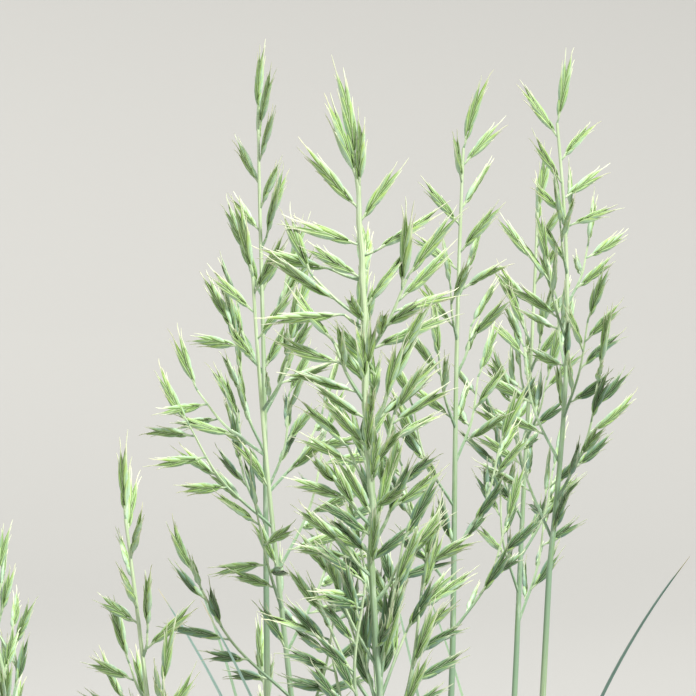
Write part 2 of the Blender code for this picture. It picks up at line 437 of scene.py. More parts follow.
def crumb_shape(chance, patch):
    """An uneven pebble of eight corners, about one unit across, with its six sides cut in two."""
    corners = np.array([(a, b, c) for c in (-1, 1) for a, b in ((-1, -1), (1, -1), (1, 1), (-1, 1))], float)
    corners *= chance.uniform(0.55, 1.0, (8, 3)) * 0.5
    sides = [(3, 2, 1, 0), (4, 5, 6, 7), (0, 1, 5, 4), (1, 2, 6, 5), (2, 3, 7, 6), (3, 0, 4, 7)]
    loops = [part for a, b, c, d in sides for part in ((a, b, c), (a, c, d))]
    left, low, right, high = patch
    u, v = np.array([left, right, (left + right) / 2]), np.array([low, low, high])
    flats = np.tile(np.stack([u, v], axis=1), (len(loops), 1))
    return corners, np.array(loops).ravel(), np.full(len(loops), 3), flats, np.zeros(len(loops), int)


def random_turn(chance):
    """A rotation matrix drawn evenly from all rotations."""
    q = chance.normal(size=4)
    w, a, b, c = q / np.linalg.norm(q)
    return np.array([
        [1 - 2 * (b * b + c * c), 2 * (a * b - w * c), 2 * (a * c + w * b)],
        [2 * (a * b + w * c), 1 - 2 * (a * a + c * c), 2 * (b * c - w * a)],
        [2 * (a * c - w * b), 2 * (b * c + w * a), 1 - 2 * (a * a + b * b)],
    ])


CRUMB_PATCHES = 10
CRUMB_KINDS = 40
chance = np.random.default_rng(11)
kinds = []
for k in range(CRUMB_KINDS):
    left = (k % CRUMB_PATCHES) / CRUMB_PATCHES
    kinds.append(crumb_shape(chance, (left + 0.01, 0.83, left + 0.09, 0.98)))
for k in range(CRUMBS):
    r = soil_radius * 0.985 * math.sqrt(chance.uniform(0.02, 1))
    a = chance.uniform(0, 2 * math.pi)
    across = chance.choice([0.7, 1.1, 1.7, 2.6], p=[0.35, 0.38, 0.2, 0.07]) * MM * chance.uniform(0.8, 1.25)
    spot = np.array([r * math.cos(a), r * math.sin(a)])
    lie = soil_top - SOIL_BELOW + lumps(*spot[:, None], 5, [BIG_LUMPS, MIDDLE_LUMPS])[0]
    lie -= SOIL_SAG * (r / soil_radius) ** 4 - across * 0.22
    stretch = np.diag([1.0, chance.uniform(0.6, 1.0), chance.uniform(0.45, 0.9)]) * across
    soil.add(kinds[chance.integers(len(kinds))], random_turn(chance) @ stretch, np.array([*spot, lie]))


def flat_map(start):
    """The place on a piece's flat map."""
    return start.node("ShaderNodeUVMap", {"uv_map": "OFBake"})


potting_mix, shader, start = new_look("potting_soil", 0.95)
flat = flat_map(start)
flat_u = flat.axis(0)
flat_v = flat.axis(1)
chip = flat_v.over(0.81, 0.815)
which = (flat_u * CRUMB_PATCHES).floor()
draw = (which + 3.0).lot()
fine = start.noise(flat, 240.0, 4.0, 0.7)
ground = start.noise(flat, 90.0, 5.0, 0.7).blend(colour(38, 27, 20), colour(84, 62, 44))
chips = draw.node("ShaderNodeValToRGB", {"stops": [
    (0.0, colour(44, 31, 23)[:3]), (0.4, colour(74, 52, 36)[:3]),
    (0.75, colour(112, 80, 54)[:3]), (0.9, colour(205, 200, 188)[:3])]}, {0: draw})
chips = (fine * 0.5).blend(chips, colour(36, 25, 18))
feed(shader, "Base Color", chip.blend(ground, chips))
feed(shader, "Roughness", 0.88 + 0.1 * fine)
feed_relief(shader, fine, 0.5, 0.0005)

soil_piece = new_piece("soil_surface", soil.shape(), [potting_mix], sharp=40)
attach(soil_piece, "root")
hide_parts("potting_soil")

# ---------------------------------------------------------------------------
# Leaf dome: about thirteen hundred needle leaves, each a narrow blade folded along its middle,
# that rise from the crown and bend outward until their tips fill a dome over the pot.
# ---------------------------------------------------------------------------

LEAVES = 1300
LEAF_ROWS = 9
LEAF_COLUMNS = 16
GOLDEN_ANGLE = 2.39996
# a blade's folded section: half width and height about its middle, groove on the inner side
LEAF_SECTION = np.array([(0.0, 0.5), (-0.95, 0.9), (-0.75, -0.25), (0.75, -0.25), (0.95, 0.9)])


def sweep(line, side, widths, section, patch, look=0, columns=None):
    """A closed blade or stem: a section carried along a line, pointed or capped at its end."""
    count = len(section)
    rows = len(line)
    ahead = np.gradient(line, axis=0)
    ahead /= np.linalg.norm(ahead, axis=1)[:, None]
    across = side - (ahead @ side)[:, None] * ahead
    across /= np.linalg.norm(across, axis=1)[:, None]
    up = np.cross(ahead, across)
    rings = (line[:, None] + across[:, None] * (section[:, 0][:, None] * widths[:, :1, None])
             + up[:, None] * (section[:, 1][:, None] * widths[:, 1:, None]))
    points, loops, sizes, flats, looks = grid_shape(rings.reshape(-1, 3), count, rows, patch, look, columns)
    left, low, right, high = patch
    # both ends are closed by one face, laid on a small round place beside the sides' own
    ring = np.arange(count)
    spin = 2 * math.pi * ring / count
    spread = min(right - left, high - low) * 0.04
    for end, where in ((ring[::-1], low), (ring + (rows - 1) * count, high)):
        loops = np.concatenate([loops, end])
        sizes = np.append(sizes, count)
        turn_way = spin[::-1] if where == low else spin
        middle = where + (spread if where == low else -spread) * 1.2
        cap = np.stack([(left + right) / 2 + spread * np.cos(turn_way),
                        middle + spread * np.sin(turn_way)], axis=1)
        flats = np.concatenate([flats, cap])
        looks = np.append(looks, look)
    return points, loops, sizes, flats, looks


tuft_low, tuft_high = (np.array(corner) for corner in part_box("leaf_tuft"))
dome_radius = tuft_high[0]
dome_foot = tuft_low[2] + 22 * MM
dome_height = tuft_high[2] - dome_foot
CROWN_SPREAD = 33 * MM
chance = np.random.default_rng(23)
leaves = Pile()
along = np.linspace(0, 1, LEAF_ROWS)
taper = np.interp(along, [0, 0.08, 0.5, 0.85, 1.0], [0.95, 1.0, 0.92, 0.6, 0.09])
for k in range(LEAVES):
    # tips spread evenly over the dome, with some leaves short of it
    lean = math.acos(1 - (k + 0.5) / LEAVES * 1.16)
    lean = min(lean * chance.uniform(0.93, 1.05), math.radians(99))
    way = k * GOLDEN_ANGLE + chance.normal(0, 0.25)
    reach = 1 - 0.34 * chance.uniform(0, 1) ** 2.2
    outward = np.array([math.cos(way), math.sin(way), 0.0])
    foot_way = way + chance.normal(0, 0.7)
    foot_r = CROWN_SPREAD * min(1.0, 0.25 + 0.75 * lean / 1.6) * math.sqrt(chance.uniform(0.05, 1))
    foot = np.array([foot_r * math.cos(foot_way), foot_r * math.sin(foot_way), tuft_low[2]])
    tip = outward * dome_radius * math.sin(lean) * reach * 0.985
    tip[2] = dome_foot + dome_height * math.cos(lean) * reach
    rise = np.array([0, 0, 1.0]) * math.cos(lean * 0.62) + outward * math.sin(lean * 0.62)
    bend = foot + rise * np.linalg.norm(tip - foot) * chance.uniform(0.5, 0.66)
    line = (foot * (1 - along[:, None]) ** 2 + bend * 2 * (along * (1 - along))[:, None]
            + tip * along[:, None] ** 2)
    sway = np.cross(outward, [0, 0, 1.0])
    swing = chance.normal(0, 3.5 * MM) * np.sin(along * math.pi * chance.uniform(0.8, 1.4))
    line += sway * swing[:, None]
    wide = chance.uniform(0.36, 0.5) * MM
    widths = np.stack([taper * wide, taper * wide * 0.8], axis=1)
    column = chance.integers(LEAF_COLUMNS)
    patch = ((column + 0.04) / LEAF_COLUMNS, 0.0, (column + 0.96) / LEAF_COLUMNS, 1.0)
    roll = chance.normal(0, 0.35)
    side = sway * math.cos(roll) + rise * math.sin(roll) * 0.3
    leaves.add(sweep(line, side, widths, LEAF_SECTION, patch))

fescue_leaf, shader, start = new_look("fescue_leaf", 0.5)
flat = flat_map(start)
flat_u = flat.axis(0)
flat_v = flat.axis(1)
column = (flat_u * LEAF_COLUMNS).floor()
draw = (column + 7.0).lot()
other = (column + 71.0).lot()
streak = start.noise(flat.stretched(260.0, 14.0), 1.0, 3.0, 0.6)
blotch = start.noise(flat.stretched(40.0, 60.0), 1.0, 4.0, 0.6)
fold = abs((flat_u * LEAF_COLUMNS).part() - 0.5) * 2.0
blue = draw.blend(colour(92, 121, 116), colour(126, 152, 144))
blade = other.over(0.55, 0.9).blend(blue, colour(122, 152, 112))
blade = (streak.over(0.35, 0.8) * 0.5).blend(blade, colour(152, 174, 166))
blade = (fold.over(0.75, 1.0) * 0.35).blend(blade, colour(88, 118, 100))
blade = (blotch.over(0.55, 0.75) * 0.3).blend(blade, colour(98, 124, 96))
sheath = (1 - flat_v.over(0.02, 0.2)) * 0.85
blade = sheath.blend(blade, colour(168, 164, 118))
dry = (flat_v + other * 0.09).over(0.985, 1.045)
blade = dry.blend(blade, colour(182, 172, 136))
old = draw.over(0.93, 0.94) * (0.4 + 0.6 * flat_v)
blade = old.blend(blade, colour(168, 156, 116))
feed(shader, "Base Color", blade)
feed(shader, "Roughness", 0.42 + 0.2 * streak)
feed_relief(shader, streak, 0.4, 0.0001)

leaf_piece = new_piece("needle_leaves", leaves.shape(), [fescue_leaf], sharp=70)
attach(leaf_piece, "root")
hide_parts("leaf_tuft")

# ---------------------------------------------------------------------------
# Flower stalks: smooth, wiry, pale green culms, each wrapped in a leaf sheath low down, with one
# swollen joint, that rise from the crown through the leaves and carry one flower head each.
# ---------------------------------------------------------------------------

STALKS = 15
CULM_ROWS = 40
CULM_FOOT_RADIUS = 0.92 * MM
CULM_END_RADIUS = 0.44 * MM
JOINT_SWELL, JOINT_PART = 0.28 * MM, 0.30
SHEATH_WALL, SHEATH_PART = 0.22 * MM, 0.55


def packed_corners(node):
    """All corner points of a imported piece."""
    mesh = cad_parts[node].data
    spots = np.empty(len(mesh.vertices) * 3)
    mesh.vertices.foreach_get("co", spots)
    return spots.reshape(-1, 3)


def centre_line(node):
    """Middle points of a stalk's or blade's rings of corners, from its foot to its end."""
    spots = packed_corners(node)
    spots = spots[np.argsort(spots[:, 2])]
    cuts = np.where(np.diff(spots[:, 2]) > 1.2 * MM)[0] + 1
    return np.array([ring.mean(axis=0) for ring in np.split(spots, cuts)])


def stem_section(sides, ridge=0.0):
    """A round section, with four low ridges where ridge is over 0."""
    spin = 2 * math.pi * np.arange(sides) / sides
    radius = 1 + ridge * np.cos(4 * spin + 0.9)
    return np.stack([radius * np.cos(spin), radius * np.sin(spin)], axis=1)


def resampled(line, count):
    """The line at evenly spaced places, rounded off by a curve through its points."""
    steps = np.linalg.norm(np.diff(line, axis=0), axis=1)
    at = np.concatenate([[0], np.cumsum(steps)])
    want = np.linspace(0, at[-1], count)
    slopes = np.gradient(line, at, axis=0)
    i = np.clip(np.searchsorted(at, want, side="right") - 1, 0, len(line) - 2)
    span = (at[i + 1] - at[i])[:, None]
    t = ((want - at[i])[:, None]) / span
    return (line[i] * (1 + 2 * t) * (1 - t) ** 2 + slopes[i] * span * t * (1 - t) ** 2
            + line[i + 1] * t * t * (3 - 2 * t) - slopes[i + 1] * span * t * t * (1 - t))


fescue_culm, shader, start = new_look("fescue_culm", 0.45)
flat = flat_map(start)
flat_v = flat.axis(1)
streak = start.noise(flat.stretched(70.0, 9.0), 1.0, 3.0, 0.6)
bloom = start.noise(flat.stretched(25.0, 30.0), 1.0, 4.0, 0.65)
# stem_tone: the colour where a stalk meets its head, kept dark partly as painted shade under the head
stem_tone = colour(126, 154, 126)
top = flat_v.over(0.9, 0.99)
stem_colour = streak.over(0.25, 0.75).blend(colour(122, 146, 100), colour(172, 190, 152))
stem_colour = (bloom.over(0.42, 0.7) * 0.6).blend(stem_colour, colour(170, 190, 172))
feed(shader, "Base Color", top.blend(stem_colour, stem_tone))
feed(shader, "Roughness", 0.4 + 0.2 * bloom)
feed_relief(shader, streak, 0.35, 0.0001)

culm_lines = {}
for number in range(1, STALKS + 1):
    node = f"culm_{number:02d}"
    line = resampled(centre_line(node), CULM_ROWS)
    culm_lines[number] = line
    along = np.linspace(0, 1, CULM_ROWS)
    thick = CULM_FOOT_RADIUS + (CULM_END_RADIUS - CULM_FOOT_RADIUS) * along
    thick += JOINT_SWELL * np.exp(-((along - JOINT_PART) / 0.012) ** 2)
    thick += SHEATH_WALL * (1 - np.clip((along - SHEATH_PART) / 0.02, 0, 1))
    widths = np.stack([thick, thick], axis=1)
    stalk = sweep(line, np.array([1.0, 0, 0]), widths, stem_section(10), (0.02, 0.0, 0.48, 1.0))
    piece = new_piece(f"flower_stalk_{number:02d}", stalk, [fescue_culm], sharp=55)
    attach(piece, "root")
    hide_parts(node)

# ---------------------------------------------------------------------------
# Stalk leaves: the short, fine blade that stands off the upper part of some flower stalks,
# folded like the leaves of the dome but slimmer.
# ---------------------------------------------------------------------------

STALK_LEAF_ROWS = 24

for number in (1, 2, 4, 5, 6, 7, 8, 10):
    node = f"culm_leaf_{number:02d}"
    line = resampled(centre_line(node), STALK_LEAF_ROWS)
    toward = culm_lines[number][np.argmin(np.abs(culm_lines[number][:, 2] - line[0, 2]))]
    line[0] = line[0] * 0.4 + toward * 0.6
    along = np.linspace(0, 1, STALK_LEAF_ROWS)
    wide = np.interp(along, [0, 0.1, 0.6, 0.9, 1.0], [0.7, 0.62, 0.5, 0.3, 0.05]) * MM
    column = number % LEAF_COLUMNS
    patch = ((column + 0.04) / LEAF_COLUMNS, 0.2, (column + 0.96) / LEAF_COLUMNS, 1.0)
    widths = np.stack([wide * 0.85, wide * 0.7], axis=1)
    blade = sweep(line, np.array([0, 1.0, 0]), widths, LEAF_SECTION, patch)
    piece = new_piece(f"stalk_leaf_{number:02d}", blade, [fescue_leaf], sharp=70)
    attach(piece, "root")
    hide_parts(node)

# ---------------------------------------------------------------------------
# Flower heads: loose open panicles. Each has a pale wiry axis with thin side twigs, which carry
# flat spikelets of four to seven florets in two rows over two short husks. Every floret is a
# folded blue-green scale with a papery white edge, drawn out into a straw-coloured bristle.
# ---------------------------------------------------------------------------

# the flat map has patches for the florets in three tones, and above them for husks and stems
FLORET_COLUMNS = 12
FLORET_BANDS = 3
BAND = 0.27
HUSK_LOW = 0.82
HUSK_BAND = 0.09
# lengths and half widths in mm, the first and the last floret of a spikelet
FLORET_LENGTH = (5.7, 4.7)
FLORET_WIDTH = (0.49, 0.34)
FLORET_DEPTH = (0.46, 0.37)
HUSK_LENGTHS = (3.2, 4.6)
AWN_RADII = (0.085, 0.06, 0.03)
# a floret's section from the middle of its inner side round to the same place: across and outward
FLORET_SECTION = np.array([
    (0.0, -0.40), (-0.62, -0.66), (-0.86, -0.85), (-1.0, -0.02), (-0.66, 0.62),
    (0.0, 1.0), (0.66, 0.62), (1.0, -0.02), (0.86, -0.85), (0.62, -0.66),
])


def scale_shape(length, wide, deep, lean, turn_in, awn, flare, patch, rows, kept):
    """One floret or husk along +Z with its back to +X; it leans out at its foot and turns in above."""
    body = np.linspace(0, 1, rows) ** 0.92
    swell = np.interp(body, [0, 0.10, 0.24, 0.40, 0.58, 0.78, 0.90, 1.0],
                      [0.18, 0.52, 0.88, 1.0, 0.80, 0.44, 0.25, 0.15])
    way = lean - turn_in * body
    steps = np.diff(body, prepend=0.0) * length
    line = np.stack([np.cumsum(steps * np.sin(way)), np.zeros(rows),
                     np.cumsum(steps * np.cos(way))], axis=1)
    widths = np.stack([wide * swell, deep * swell], axis=1)
    if awn:
        reach = np.array([0.33, 0.7, 1.0]) * awn
        off = way[-1] + flare * np.array([0.4, 0.8, 1.0])
        tail = line[-1] + np.stack([reach * np.sin(off), np.zeros(3), reach * np.cos(off)], axis=1)
        line = np.concatenate([line, tail])
        widths = np.concatenate([widths, np.array(AWN_RADII)[:, None] * MM * np.ones(2)])
    columns = np.append(kept, len(FLORET_SECTION)) / len(FLORET_SECTION)
    section = FLORET_SECTION[kept] * np.array([-1, 1])
    return sweep(line, np.array([0.0, -1.0, 0.0]), widths, section, patch, columns=columns)


def tilt(angle, axis):
    """A rotation matrix about X (0), Y (1) or Z (2)."""
    c, s = math.cos(angle), math.sin(angle)
    one, two = [(1, 2), (2, 0), (0, 1)][axis]
    matrix = np.eye(3)
    matrix[one, one] = matrix[two, two] = c
    matrix[one, two], matrix[two, one] = -s, s
    return matrix


def spikelet_shape(florets, chance, rows, kept, tone):
    """A spikelet along +Z, about 10 mm long and flat in the XZ plane; kept picks section corners."""
    made = Pile()
    column = chance.integers(FLORET_COLUMNS)

    def husk_patch(k):
        left = ((column + k) % FLORET_COLUMNS + 0.04) / FLORET_COLUMNS
        return left, HUSK_LOW, left + 0.92 / FLORET_COLUMNS, HUSK_LOW + HUSK_BAND

    first = 1 if chance.uniform() < 0.5 else -1
    for k, (side, up, length) in enumerate(zip((-first, first), (0.0, 0.3), HUSK_LENGTHS)):
        husk = scale_shape(length * MM, 0.46 * MM, 0.30 * MM, chance.uniform(0.17, 0.25), 0.12,
                           0.6 * MM, 0.15, husk_patch(k), max(5, rows - 3), kept)
        spin = tilt(0.0 if side > 0 else math.pi, 2)
        made.add(husk, spin, np.array([side * 0.12 * MM, 0, up * MM]))
    gap = 1.04 + chance.uniform(-0.08, 0.10)
    open_out = chance.uniform(0.09, 0.15)
    for k in range(florets):
        side = -first if k % 2 else first
        young = k / max(1, florets - 1)
        size = 1.0 + chance.uniform(-0.05, 0.05)
        left = (chance.integers(FLORET_COLUMNS) + 0.03) / FLORET_COLUMNS
        patch = (left, tone * BAND, left + 0.94 / FLORET_COLUMNS, tone * BAND + BAND - 0.01)
        lean = 0.05 + open_out * (1 - 0.5 * young) + chance.uniform(-0.02, 0.03)
        length, wide, deep = (low + (high - low) * young
                              for low, high in (FLORET_LENGTH, FLORET_WIDTH, FLORET_DEPTH))
        floret = scale_shape(length * size * MM, wide * MM, deep * size * MM,
                             lean, lean * 0.5 + chance.uniform(-0.03, 0.04),
                             chance.uniform(1.0, 2.0) * MM, chance.uniform(-0.05, 0.22), patch, rows, kept)
        spin = tilt(0.0 if side > 0 else math.pi, 2) @ tilt(chance.normal(0, 0.10), 2)
        spin = tilt(chance.normal(0, 0.03), 0) @ spin
        foot = np.array([side * 0.09 * MM, chance.normal(0, 0.03 * MM), (0.5 + gap * k) * MM])
        made.add(floret, spin, foot)
    points, loops, sizes, flats, looks = made.shape()
    bend, sway = chance.normal(0, 5.0), chance.normal(0, 3.0)
    points = points.copy()
    points[:, 0] += bend * points[:, 2] ** 2
    points[:, 1] += sway * points[:, 2] ** 2
    return points, loops, sizes, flats, looks


chance = np.random.default_rng(41)
ALL_CORNERS = list(range(10))
MOST_CORNERS = [0, 2, 3, 4, 5, 6, 7, 8]
FEW_CORNERS = [0, 2, 4, 5, 6, 8]


def spikelet_kinds(counts, rows, kept):
    """Spikelets with these numbers of florets, in each tone of green, the deepest first: bluer, and darker
    with painted shade.
    """
    return [[spikelet_shape(n, chance, rows, kept, tone) for n in counts] for tone in range(FLORET_BANDS)]


fine_spikelets = spikelet_kinds((4, 5, 5, 5, 6, 6, 4, 5, 6, 5, 7, 6), 8, ALL_CORNERS)
near_spikelets = spikelet_kinds((4, 5, 5, 5, 6, 6, 4, 5, 6, 5), 7, MOST_CORNERS)
plain_spikelets = spikelet_kinds((4, 5, 5, 6, 4, 5, 6, 5), 6, FEW_CORNERS)

STEM_LOW, STEM_HIGH = 0.935, 0.99
STEM_PATCHES = [(left, STEM_LOW, left + 0.28, STEM_HIGH) for left in (0.02, 0.35, 0.68)]


def stem(pile, points, thick, sides, chance, ridge=0.0):
    """A stem through the points, added to the pile with the twigs' look."""
    line = np.array(points)
    thick = np.array(thick)
    chord = line[-1] - line[0]
    level = abs(chord[0]) >= 0.7 * np.linalg.norm(chord)
    side = np.array([0, 1.0, 0]) if level else np.array([1.0, 0, 0])
    patch = STEM_PATCHES[chance.integers(len(STEM_PATCHES))]
    widths = np.stack([thick, thick], axis=1)
    pile.add(sweep(line, side, widths, stem_section(sides, ridge), patch), look=1)


SPIKELET_STEM_RADII = [0.17 * MM, 0.15 * MM, 0.24 * MM]


def place_spikelet(pile, kinds, foot, reach, facing, chance, sides, level):
    """A spikelet and its stem, out to the bristles' ends; level runs from 0 to 1 up the head."""
    length = np.linalg.norm(reach)
    ahead = reach / length
    tone = int(np.clip(FLORET_BANDS * level + chance.normal(0, 0.4), 0, FLORET_BANDS - 1))
    kind = kinds[tone][chance.integers(len(kinds[tone]))]
    tall = kind[0][:, 2].max()
    stem_length = min(1.3 * MM, length * 0.14)
    size = (length - stem_length) / tall
    wide = max(size * 0.95, 0.84)
    flat_way = facing - (facing @ ahead) * ahead
    flat_way /= np.linalg.norm(flat_way)
    across = np.cross(flat_way, ahead)
    roll = chance.normal(0, 0.45)
    flat_way, across = (flat_way * math.cos(roll) - across * math.sin(roll),
                        across * math.cos(roll) + flat_way * math.sin(roll))
    if chance.uniform() < 0.5:
        flat_way, across = -flat_way, -across
    base = foot + ahead * stem_length
    turned = np.stack([across * wide, flat_way * wide, ahead * size], axis=1)
    pile.add(kind, turned, base - ahead * 0.15 * MM)
    sag = np.cross(ahead, flat_way) * 0.08 * MM
    stem(pile, [foot, foot + ahead * stem_length * 0.5 + sag, base + ahead * 0.5 * MM],
         SPIKELET_STEM_RADII, sides, chance)


def curve(points, count):
    return resampled(np.array(points, float), count)


# The front head: heights on its axis and reaches (to the right, up, towards the front), in mm. A
# spikelet's reach ends where its bristles start to stand free, and they add a tenth to it.
FRONT_BRISTLES = 1.1
# the length of the axis, along which the spikelets' tones change
FRONT_LENGTH = 85.0
AXIS_END_RADIUS = 0.22 * MM
# heights on the axis and its radius there, in mm
FRONT_AXIS_RADII = ([0, 5, 35, 70, 85], [0.44, 0.37, 0.39, 0.36, 0.22])
FRONT_AXIS_ROWS = 90
FRONT_TWIG_RADII = (0.26 * MM, 0.15 * MM)
FRONT_TWIG_ROWS = 16
TWIG_RADII = (0.25 * MM, 0.14 * MM)
FAR_TWIG_ROWS = 10
TWIG_ROWS = 12
# spikelets that stand straight on the axis
FRONT_SINGLES = [
    (84.0, (-1.5, 13.3, 0.0)), (81.8, (-3.7, 10.6, 0.8)), (80.6, (0.6, 9.9, 1.5)),
    (78.0, (-7.5, 8.6, 0.8)), (76.2, (5.6, 8.3, -1.0)), (73.5, (-10.0, 3.0, 1.0)),
    (69.2, (-7.6, 4.2, 1.0)), (65.2, (5.6, 7.7, 0.8)), (63.4, (-2.8, 4.0, 4.6)),
    (56.8, (1.0, 7.2, 3.0)), (55.0, (-0.8, 8.2, 2.6)), (50.7, (-7.6, 5.3, 1.2)),
    (49.6, (0.3, 5.8, 5.5)), (46.8, (-5.3, 6.8, 2.0)), (45.6, (-0.9, 8.2, 3.2)),
    (44.0, (3.6, 6.4, 3.0)), (42.0, (1.2, 8.4, 3.0)), (39.2, (4.0, 3.2, 5.4)), (38.0, (-4.2, 8.4, 2.0)),
    (35.4, (-6.6, 5.6, 2.4)), (33.6, (-7.4, 3.8, 1.6)), (33.0, (-4.6, 5.4, 4.6)),
    (31.4, (0.6, 8.4, 4.2)), (21.0, (1.9, 3.8, 6.0)),
]
# twigs: height of the foot, reach of the end, sideways bow of the middle, then spikelets as
# (part of the way along, reach)
FRONT_TWIGS = [
    (71.8, (1.5, 0.5, 0.0), 0.1, [(1.0, (9.5, 5.8, 0.0))]),
    (68.6, (-3.9, 1.4, -2.4), -0.4, [(1.0, (-10.0, 2.4, -0.6))]),
    (63.3, (-6.8, 5.8, 0.6), -0.5, [(1.0, (-4.2, 8.4, 0.6)), (0.45, (-9.6, 5.8, 0.2))]),
    (62.3, (-2.6, 1.8, 1.0), -0.2, [(1.0, (-10.8, -0.6, 1.4))]),
    (58.4, (5.4, 10.4, -0.4), 0.5, [
        (1.0, (6.5, 9.4, 0.0)), (0.84, (0.8, 11.0, 2.4)), (0.72, (7.6, 7.2, -1.4)),
        (0.6, (9.2, 2.9, -2.6)), (0.4, (4.6, 3.8, 5.2)), (0.26, (0.7, 4.0, 5.0)),
        (0.14, (11.0, 4.4, -1.0)),
    ]),
    (52.6, (-4.0, 7.8, 0.6), -0.4, [
        (1.0, (-6.2, 7.2, 1.0)), (0.7, (-9.8, 3.0, -2.0)), (0.52, (-1.2, 7.0, 3.4)),
        (0.2, (-9.6, 3.0, 0.4)),
    ]),
    (48.0, (3.8, 9.8, 0.8), 0.4, [
        (1.0, (4.2, 8.6, 0.4)), (0.7, (3.9, 8.4, -1.0)), (0.45, (2.3, 9.0, 1.6)),
        (0.3, (7.6, 6.4, -2.0)),
    ]),
    (42.8, (3.2, 9.0, 0.0), 0.4, [
        (1.0, (5.6, 7.4, -0.8)), (0.94, (3.4, 6.6, 2.4)), (0.8, (7.5, 5.3, -1.0)),
        (0.5, (7.0, 4.0, -0.4)),
    ]),
    (41.5, (-3.0, 5.4, -1.0), -0.3, [(1.0, (-6.4, 6.6, -0.8)), (0.6, (-7.8, 4.0, 0.2))]),
    (36.5, (-4.0, 5.4, 1.0), -0.4, [
        (1.0, (-4.4, 4.0, 5.0)), (0.7, (-7.8, 3.6, 1.0)), (0.4, (-4.2, 7.2, 3.0)),
    ]),
    (34.0, (3.2, 7.4, 0.4), 0.4, [
        (1.0, (5.0, 5.2, 2.0)), (0.7, (7.4, 5.2, 1.0)), (0.45, (3.2, 8.6, 2.2)),
    ]),
    (30.0, (-3.4, 4.2, 1.8), -0.4, [(1.0, (-6.6, 5.0, 0.8)), (0.7, (-8.0, 1.2, 0.4))]),
    (26.5, (3.2, 5.2, -0.8), 0.4, [(1.0, (6.8, 6.6, 0.0)), (0.6, (8.6, 3.2, -0.8))]),
    (16.2, (3.0, 18.3, 1.0), -0.1, [
        (1.0, (4.2, 9.2, 0.0)), (0.86, (6.2, 6.6, -1.0)), (0.7, (3.4, 8.6, 2.0)),
        (0.5, (3.0, 7.8, -1.4)), (0.3, (2.4, 8.4, 1.4)), (0.12, (2.0, 8.6, 2.6)),
    ]),
    (5.0, (-1.6, 24.4, 2.0), -2.2, [
        (1.0, (-6.8, 5.4, 2.0)), (0.96, (-7.6, 0.4, 3.0)), (0.86, (-5.4, 2.4, 5.0)),
        (0.8, (-2.6, 8.0, 3.0)), (0.66, (-4.4, 6.4, 3.4)), (0.52, (-5.6, 5.0, 4.0)),
        (0.42, (-4.0, 7.4, 3.0)), (0.3, (-6.4, 5.0, 2.0)),
    ]),
    (2.0, (-6.2, 20.0, 1.0), -1.0, [
        (1.0, (-8.6, 3.6, 0.0)), (0.94, (-5.6, 7.0, 1.0)), (0.8, (-7.2, 3.6, 3.0)),
        (0.68, (-7.8, 2.0, 2.0)), (0.56, (-4.4, 7.2, 3.2)), (0.46, (-8.4, 3.0, -1.0)),
        (0.36, (-7.0, 5.0, 2.4)),
    ]),
    (3.0, (6.2, 28.4, -1.0), 1.3, [
        (1.0, (6.2, 4.2, 2.0)), (0.97, (2.0, 9.2, 0.0)), (0.86, (2.8, 9.0, 1.0)),
        (0.78, (7.4, 5.4, -1.0)), (0.7, (5.0, 5.6, 2.0)), (0.62, (6.2, 4.4, 1.0)),
        (0.55, (3.0, 8.8, 2.4)), (0.45, (7.6, 4.2, -1.0)), (0.36, (3.6, 8.4, 2.0)),
        (0.25, (6.0, 6.0, -1.6)),
    ]),
    (12.0, (-7.2, 12.6, -3.0), -0.6, [(1.0, (-5.2, 6.9, -0.5)), (0.8, (-3.4, 8.0, -1.0))]),
    (18.0, (-6.0, 11.6, -3.6), -0.4, [(1.0, (-4.3, 6.4, -0.4)), (0.75, (-2.4, 8.2, -0.6))]),
]
# twigs on the far side: height, reach of the end, number of spikelets
FRONT_FAR_TWIGS = [
    (10.0, (-1.0, 13.0, -6.0), 6), (17.0, (2.0, 10.0, -6.5), 5), (25.0, (-2.0, 9.0, -6.0), 5),
    (33.0, (1.5, 8.0, -5.5), 4), (41.0, (-1.5, 7.0, -5.0), 4), (49.0, (1.5, 6.5, -4.5), 3),
    (58.0, (-1.0, 5.0, -3.5), 2), (67.0, (0.5, 3.0, -2.5), 2), (12.0, (-4.0, 12.0, -2.5), 4),
    (14.0, (4.5, 11.0, -2.5), 3),
]
# the bowed axis: height above the foot of the head, and shift to the right of the foot, in mm
FRONT_AXIS = [(0.0, 0.0), (13.0, 0.5), (22.0, 0.1), (31.0, -0.6), (39.0, -0.4), (46.0, -0.9), (52.0, -1.3),
              (65.0, -1.5), (74.0, -2.0), (80.0, -2.3), (84.5, -2.7)]

AXIS_ROWS = 60
# how far each head has opened: at 1 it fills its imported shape, and over 1 it spreads past it
HEAD_OPENNESS = {2: 1.45, 3: 1.0, 4: 1.0, 5: 1.1, 6: 0.9, 7: 0.7, 8: 0.8, 9: 0.6, 11: 0.7, 13: 0.5, 15: 0.6}
# how far the tip of a head leans and how far its middle bows, to the right and up, in mm
HEAD_LEAN = {2: (1.5, 0.0), 3: (-6.0, 0.0), 4: (-1.5, 0.0), 5: (-2.8, -6.0)}
HEAD_BOW = {2: -0.6, 5: 2.0}


def head_ends(number):
    """Foot of a flower head, where its stalk ends, and the tip of its outer shape."""
    spots = packed_corners(f"panicle_{number:02d}")
    return culm_lines[number][-1], spots[np.argmax(spots[:, 2])]


